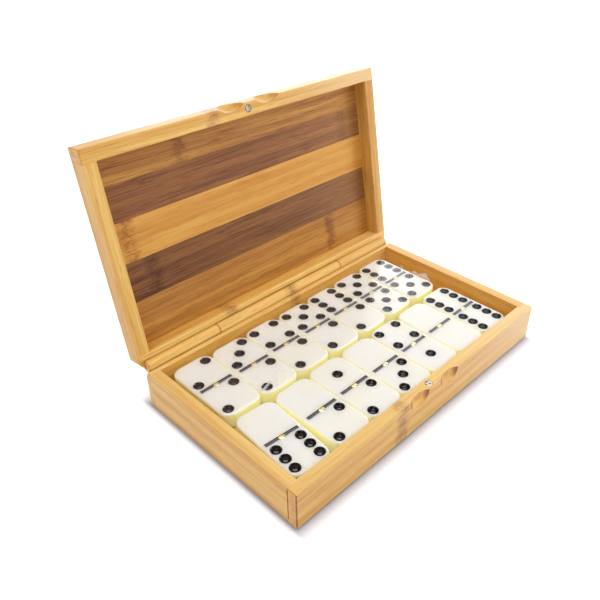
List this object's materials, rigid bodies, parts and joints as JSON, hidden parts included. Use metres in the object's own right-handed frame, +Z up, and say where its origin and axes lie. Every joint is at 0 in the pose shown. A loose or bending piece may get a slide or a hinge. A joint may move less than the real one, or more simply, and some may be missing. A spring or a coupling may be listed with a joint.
{
  "type": "domino storage box",
  "caption": "Shallow hinged bamboo box with an integral wooden knuckle hinge, magnet catch and finger dishes, its striped lid standing open, filled with ivory dominoes.",
  "frame": {"origin": "centre of the underside of the base, which is the surface that the box stands on", "axes": "+X along the length of the box to the right, +Y from the front to the hinge, +Z up"},
  "size_m": [0.2086, 0.155, 0.1464],
  "materials": {
    "bamboo": "satin lacquer",
    "dark_bamboo": "satin lacquer",
    "amber_bamboo": "satin lacquer",
    "ivory": "polished",
    "pip_black": "glossy enamel",
    "brass": "polished",
    "steel": "nickel plated",
    "clear_film": "clear"
  },
  "bodies": {
    "base": {"base_front_wall": "bamboo", "base_back_wall": "bamboo", "base_left_wall": "bamboo", "base_right_wall": "bamboo", "base_floor": "bamboo", "base_magnet": "steel", "hinge_pin_left": "steel", "hinge_pin_right": "steel"},
    "lid": {"lid_front_wall": "bamboo", "lid_back_wall": "bamboo", "lid_left_wall": "bamboo", "lid_right_wall": "bamboo", "lid_strip_1": "amber_bamboo", "lid_strip_2": "dark_bamboo", "lid_strip_3": "bamboo", "lid_strip_4": "dark_bamboo", "lid_strip_5": "amber_bamboo", "lid_magnet": "steel"},
    "wrapped_set": {"tile_2_2": "ivory", "tile_3_2": "ivory", "tile_4_2": "ivory", "tile_5_2": "ivory", "tile_6_2": "ivory", "tile_5_5": "ivory", "tile_6_5": "ivory", "wrapped_lower_tiles": "ivory", "wrapped_spinners": "brass", "shrink_film": "clear_film"},
    "domino_0_1": {"tile_0_1": "ivory", "spinner_0_1": "brass"},
    "domino_0_4": {"tile_0_4": "ivory", "spinner_0_4": "brass"},
    "domino_0_5": {"tile_0_5": "ivory", "spinner_0_5": "brass"},
    "domino_1_1": {"tile_1_1": "ivory", "spinner_1_1": "brass"},
    "domino_1_3": {"tile_1_3": "ivory", "spinner_1_3": "brass"},
    "domino_1_5": {"tile_1_5": "ivory", "spinner_1_5": "brass"},
    "domino_1_6": {"tile_1_6": "ivory", "spinner_1_6": "brass"},
    "domino_0_6": {"tile_0_6": "ivory", "spinner_0_6": "brass"},
    "domino_0_2": {"tile_0_2": "ivory", "spinner_0_2": "brass"},
    "domino_1_2": {"tile_1_2": "ivory", "spinner_1_2": "brass"},
    "domino_0_3": {"tile_0_3": "ivory", "spinner_0_3": "brass"},
    "domino_4_1": {"tile_4_1": "ivory", "spinner_4_1": "brass"},
    "domino_0_0": {"tile_0_0": "ivory", "spinner_0_0": "brass"},
    "domino_6_6": {"tile_6_6": "ivory", "spinner_6_6": "brass"}
  },
  "joints": [
    {"name": "lid_hinge", "type": "hinge", "parent": "base", "child": "lid", "pos_m": [0, 0.06125, 0.02515], "axis": [-1, 0, 0], "range_deg": [-99.5, 0]},
    {"name": "wrapped_set_lift", "type": "slide", "parent": "base", "child": "wrapped_set", "axis": [0, 0, 1], "range_m": [0, 0.03]},
    {"name": "domino_0_1_lift", "type": "slide", "parent": "base", "child": "domino_0_1", "axis": [0, 0, 1], "range_m": [0, 0.03]},
    {"name": "domino_0_6_lift", "type": "slide", "parent": "domino_0_1", "child": "domino_0_6", "axis": [0, 0, 1], "range_m": [0, 0.03]},
    {"name": "domino_0_4_lift", "type": "slide", "parent": "base", "child": "domino_0_4", "axis": [0, 0, 1], "range_m": [0, 0.03]},
    {"name": "domino_0_2_lift", "type": "slide", "parent": "domino_0_4", "child": "domino_0_2", "axis": [0, 0, 1], "range_m": [0, 0.03]},
    {"name": "domino_0_5_lift", "type": "slide", "parent": "base", "child": "domino_0_5", "axis": [0, 0, 1], "range_m": [0, 0.03]},
    {"name": "domino_1_2_lift", "type": "slide", "parent": "domino_0_5", "child": "domino_1_2", "axis": [0, 0, 1], "range_m": [0, 0.03]},
    {"name": "domino_1_1_lift", "type": "slide", "parent": "base", "child": "domino_1_1", "axis": [0, 0, 1], "range_m": [0, 0.03]},
    {"name": "domino_0_3_lift", "type": "slide", "parent": "domino_1_1", "child": "domino_0_3", "axis": [0, 0, 1], "range_m": [0, 0.03]},
    {"name": "domino_1_3_lift", "type": "slide", "parent": "base", "child": "domino_1_3", "axis": [0, 0, 1], "range_m": [0, 0.03]},
    {"name": "domino_4_1_lift", "type": "slide", "parent": "domino_1_3", "child": "domino_4_1", "axis": [0, 0, 1], "range_m": [0, 0.03]},
    {"name": "domino_1_5_lift", "type": "slide", "parent": "base", "child": "domino_1_5", "axis": [0, 0, 1], "range_m": [0, 0.03]},
    {"name": "domino_0_0_lift", "type": "slide", "parent": "domino_1_5", "child": "domino_0_0", "axis": [0, 0, 1], "range_m": [0, 0.03]},
    {"name": "domino_1_6_lift", "type": "slide", "parent": "base", "child": "domino_1_6", "axis": [0, 0, 1], "range_m": [0, 0.03]},
    {"name": "domino_6_6_lift", "type": "slide", "parent": "domino_1_6", "child": "domino_6_6", "axis": [0, 0, 1], "range_m": [0, 0.03]}
  ]
}
